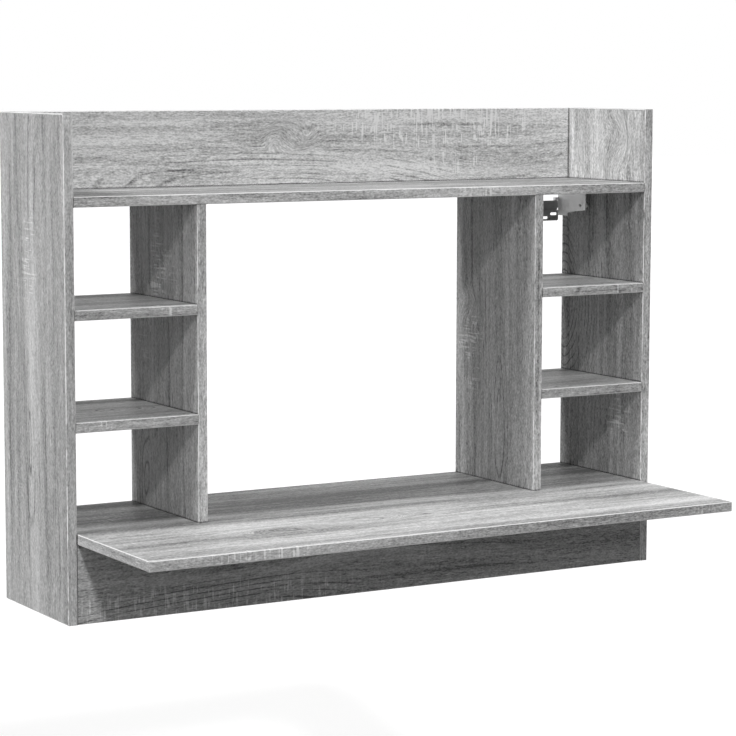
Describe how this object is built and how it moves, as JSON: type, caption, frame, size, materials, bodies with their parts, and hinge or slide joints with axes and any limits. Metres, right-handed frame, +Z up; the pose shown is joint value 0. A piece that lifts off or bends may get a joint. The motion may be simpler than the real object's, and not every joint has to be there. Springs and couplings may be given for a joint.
{
  "type": "wall-hung desk",
  "caption": "Wall-hung desk in wood-grain board: a deep fixed desktop with open side shelves, a top shelf and a crest board, hung on adjustable brackets.",
  "frame": {"origin": "on the wall, midway between the outer upper slots of the two wall plates", "axes": "+X to the right along the desk, +Y into the wall, +Z up"},
  "size_m": [1, 0.456, 0.714],
  "materials": {
    "board": "grey sawn-oak melamine, satin",
    "edging": "grey wood-grain edge strip, satin",
    "dowel_wood": "plain beech",
    "cast_zinc": "bare die casting",
    "plated_steel": "bright zinc plating",
    "grey_housing": "dull zinc plating",
    "dark_steel": "dark phosphated steel"
  },
  "bodies": {
    "wall_plates": {"left_wall_plate": "dark_steel", "right_wall_plate": "dark_steel"},
    "hooks": {"left_hook": "plated_steel", "right_hook": "plated_steel"},
    "carriages": {"left_hanger_carriage": "cast_zinc", "right_hanger_carriage": "cast_zinc"},
    "cabinet": {"left_side_panel": "board", "right_side_panel": "board", "crest_board": "board", "top_shelf": "board", "desktop": "board", "apron_board": "board", "left_divider": "board", "right_divider": "board", "left_upper_shelf": "board", "left_lower_shelf": "board", "right_upper_shelf": "board", "right_lower_shelf": "board", "apron_bottom_edging": "edging", "crest_top_edging": "edging", "desktop_front_edging": "edging", "desktop_left_edging": "edging", "desktop_right_edging": "edging", "left_divider_front_edging": "edging", "left_lower_shelf_front_edging": "edging", "left_side_bottom_edging": "edging", "left_side_front_edging": "edging", "left_side_top_edging": "edging", "left_upper_shelf_front_edging": "edging", "right_divider_front_edging": "edging", "right_lower_shelf_front_edging": "edging", "right_side_bottom_edging": "edging", "right_side_front_edging": "edging", "right_side_top_edging": "edging", "right_upper_shelf_front_edging": "edging", "top_shelf_front_edging": "edging", "wooden_dowels": "dowel_wood", "cam_locks": "cast_zinc", "cam_bolts": "plated_steel", "divider_screws": "plated_steel", "hanger_fixing_screws": "plated_steel", "left_hanger_housing": "grey_housing", "right_hanger_housing": "grey_housing"},
    "left_height_screw": {"left_height_screw": "plated_steel"},
    "right_height_screw": {"right_height_screw": "plated_steel"},
    "left_depth_screw": {"left_depth_screw": "plated_steel"},
    "right_depth_screw": {"right_depth_screw": "plated_steel"}
  },
  "joints": [
    {"name": "lift_off", "type": "slide", "parent": "wall_plates", "child": "hooks", "axis": [0, 0, 1], "range_m": [0, 0.01]},
    {"name": "height_adjust", "type": "slide", "parent": "hooks", "child": "carriages", "axis": [0, 0, 1], "range_m": [-0.006, 0.006]},
    {"name": "depth_adjust", "type": "slide", "parent": "carriages", "child": "cabinet", "axis": [0, -1, 0], "range_m": [0, 0.01]},
    {"name": "left_height_screw_turn", "type": "hinge", "parent": "carriages", "child": "left_height_screw", "pos_m": [-0.4795, -0.01, 0.024], "axis": [0, 0, 1], "range_deg": [-3266, 3266]},
    {"name": "left_depth_screw_turn", "type": "hinge", "parent": "cabinet", "child": "left_depth_screw", "pos_m": [-0.4795, -0.045, 0.0345], "axis": [0, -1, 0], "range_deg": [-180, 5323]},
    {"name": "right_height_screw_turn", "type": "hinge", "parent": "carriages", "child": "right_height_screw", "pos_m": [0.4795, -0.01, 0.024], "axis": [0, 0, 1], "range_deg": [-3266, 3266]},
    {"name": "right_depth_screw_turn", "type": "hinge", "parent": "cabinet", "child": "right_depth_screw", "pos_m": [0.4795, -0.045, 0.0345], "axis": [0, -1, 0], "range_deg": [-180, 5323]}
  ],
  "couplings": [
    {"joint": "left_height_screw_turn", "follows": "height_adjust", "rad_per_m": 8976},
    {"joint": "left_depth_screw_turn", "follows": "depth_adjust", "rad_per_m": 8976},
    {"joint": "right_height_screw_turn", "follows": "height_adjust", "rad_per_m": 8976},
    {"joint": "right_depth_screw_turn", "follows": "depth_adjust", "rad_per_m": 8976}
  ]
}
